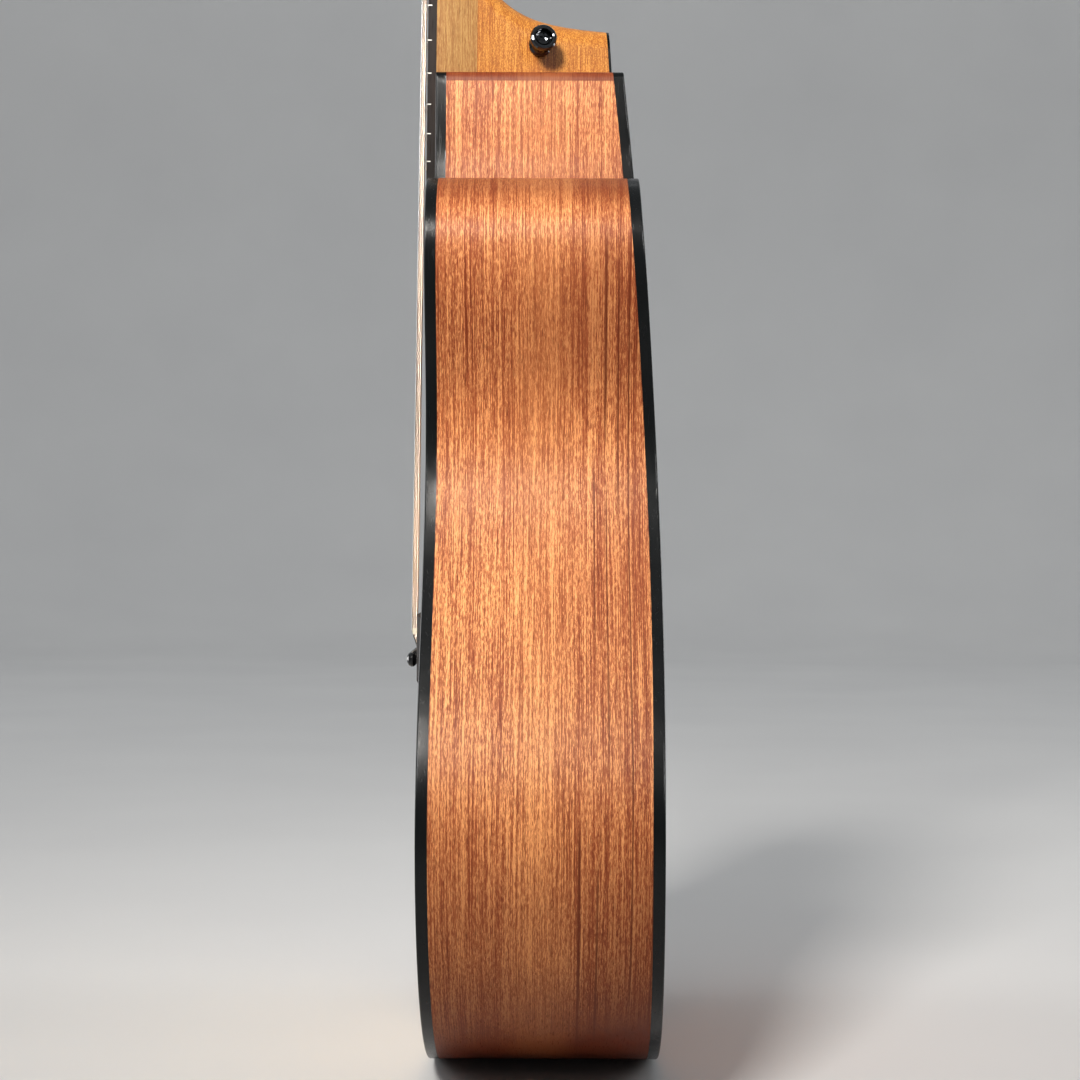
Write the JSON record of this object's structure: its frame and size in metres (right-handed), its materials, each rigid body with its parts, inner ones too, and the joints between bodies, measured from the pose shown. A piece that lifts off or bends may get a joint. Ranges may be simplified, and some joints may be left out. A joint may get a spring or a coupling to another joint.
{
  "type": "acoustic guitar",
  "caption": "Steel-string acoustic guitar with a flat spruce top, arched back, dark edge binding, rounded cutaway, bolted neck and geared tuners that turn the string posts.",
  "frame": {"origin": "on the end pin axis where the pin meets the outside of the tail, half way through the body", "axes": "+Z along the neck towards the headstock, +Y through the body towards the arched back, +X across to the treble side, where the cutaway is"},
  "size_m": [0.4, 0.1312, 1.068],
  "materials": {
    "spruce": "satin lacquer",
    "side_wood": "satin lacquer",
    "back_wood": "satin lacquer",
    "inner_spruce": "bare",
    "inner_mahogany": "bare",
    "neck_wood": "satin lacquer",
    "heel_wood": "satin lacquer",
    "rosewood": "oiled",
    "head_veneer": "gloss lacquer",
    "black_binding": "satin",
    "rosette_inlay": "gloss",
    "bone": "polished",
    "pearl": "gloss",
    "black_plastic": "gloss",
    "fret_metal": "polished",
    "steel": "plain",
    "black_chrome": "gloss black",
    "gear_brass": "machined",
    "bronze_string": "wound",
    "plain_string": "drawn wire"
  },
  "bodies": {
    "guitar": {"soundboard": "spruce", "back_plate": "back_wood", "side_treble": "side_wood", "side_bass": "side_wood", "end_graft": "black_binding", "top_binding": "black_binding", "back_binding": "black_binding", "rosette": "rosette_inlay", "neck_block": "inner_mahogany", "tail_block": "inner_mahogany", "top_lining": "inner_mahogany", "back_lining": "inner_mahogany", "top_braces": "inner_spruce", "back_braces": "inner_spruce", "bridge_plate": "rosewood", "bridge": "rosewood", "saddle": "bone", "bridge_pins": "black_plastic", "neck": "neck_wood", "heel_block": "heel_wood", "heel_cap": "black_binding", "fingerboard": "rosewood", "frets": "fret_metal", "position_dots": "pearl", "nut": "bone", "truss_rod": "steel", "headstock_veneer": "head_veneer", "truss_rod_cover": "black_plastic", "neck_bolts": "steel", "strap_button": "black_chrome", "strap_button_screw": "black_chrome", "end_pin": "black_plastic", "tuner_housings": "black_chrome", "tuner_bushings": "black_chrome", "small_screws": "black_chrome", "string_1": "bronze_string", "string_2": "bronze_string", "string_3": "bronze_string", "string_4": "bronze_string", "string_5": "plain_string", "string_6": "plain_string"},
    "truss_nut": {"truss_rod_nut": "steel"},
    "knob_1": {"tuner_button_1": "black_chrome"},
    "post_1": {"string_post_1": "black_chrome", "string_windings_1": "bronze_string"},
    "knob_2": {"tuner_button_2": "black_chrome"},
    "post_2": {"string_post_2": "black_chrome", "string_windings_2": "bronze_string"},
    "knob_3": {"tuner_button_3": "black_chrome"},
    "post_3": {"string_post_3": "black_chrome", "string_windings_3": "bronze_string"},
    "knob_4": {"tuner_button_4": "black_chrome"},
    "post_4": {"string_post_4": "black_chrome", "string_windings_4": "bronze_string"},
    "knob_5": {"tuner_button_5": "black_chrome"},
    "post_5": {"string_post_5": "black_chrome", "string_windings_5": "plain_string"},
    "knob_6": {"tuner_button_6": "black_chrome"},
    "post_6": {"string_post_6": "black_chrome", "string_windings_6": "plain_string"}
  },
  "joints": [
    {"name": "knob_turn_1", "type": "hinge", "parent": "guitar", "child": "knob_1", "pos_m": [-0.01943, -0.02444, 0.92024], "axis": [-1, 0, 0], "continuous": true},
    {"name": "post_turn_1", "type": "hinge", "parent": "guitar", "child": "post_1", "pos_m": [-0.01943, -0.03008, 0.91601], "axis": [0, -0.9684, 0.2495], "continuous": true},
    {"name": "knob_turn_2", "type": "hinge", "parent": "guitar", "child": "knob_2", "pos_m": [-0.02091, -0.01421, 0.95995], "axis": [-1, 0, 0], "continuous": true},
    {"name": "post_turn_2", "type": "hinge", "parent": "guitar", "child": "post_2", "pos_m": [-0.02091, -0.01985, 0.95572], "axis": [0, -0.9684, 0.2495], "continuous": true},
    {"name": "knob_turn_3", "type": "hinge", "parent": "guitar", "child": "knob_3", "pos_m": [-0.02238, -0.00398, 0.99965], "axis": [-1, 0, 0], "continuous": true},
    {"name": "post_turn_3", "type": "hinge", "parent": "guitar", "child": "post_3", "pos_m": [-0.02238, -0.00962, 0.99542], "axis": [0, -0.9684, 0.2495], "continuous": true},
    {"name": "knob_turn_4", "type": "hinge", "parent": "guitar", "child": "knob_4", "pos_m": [0.02238, -0.00398, 0.99965], "axis": [1, 0, 0], "continuous": true},
    {"name": "post_turn_4", "type": "hinge", "parent": "guitar", "child": "post_4", "pos_m": [0.02238, -0.00962, 0.99542], "axis": [0, -0.9684, 0.2495], "continuous": true},
    {"name": "knob_turn_5", "type": "hinge", "parent": "guitar", "child": "knob_5", "pos_m": [0.02091, -0.01421, 0.95995], "axis": [1, 0, 0], "continuous": true},
    {"name": "post_turn_5", "type": "hinge", "parent": "guitar", "child": "post_5", "pos_m": [0.02091, -0.01985, 0.95572], "axis": [0, -0.9684, 0.2495], "continuous": true},
    {"name": "knob_turn_6", "type": "hinge", "parent": "guitar", "child": "knob_6", "pos_m": [0.01943, -0.02444, 0.92024], "axis": [1, 0, 0], "continuous": true},
    {"name": "post_turn_6", "type": "hinge", "parent": "guitar", "child": "post_6", "pos_m": [0.01943, -0.03008, 0.91601], "axis": [0, -0.9684, 0.2495], "continuous": true},
    {"name": "truss_nut_turn", "type": "hinge", "parent": "guitar", "child": "truss_nut", "pos_m": [0, -0.04958, 0.8813], "axis": [0, 0.0079, 1], "range_deg": [-180, 180]}
  ],
  "couplings": [
    {"joint": "post_turn_1", "follows": "knob_turn_1", "ratio": -0.071429},
    {"joint": "post_turn_2", "follows": "knob_turn_2", "ratio": -0.071429},
    {"joint": "post_turn_3", "follows": "knob_turn_3", "ratio": -0.071429},
    {"joint": "post_turn_4", "follows": "knob_turn_4", "ratio": 0.071429},
    {"joint": "post_turn_5", "follows": "knob_turn_5", "ratio": 0.071429},
    {"joint": "post_turn_6", "follows": "knob_turn_6", "ratio": 0.071429}
  ]
}
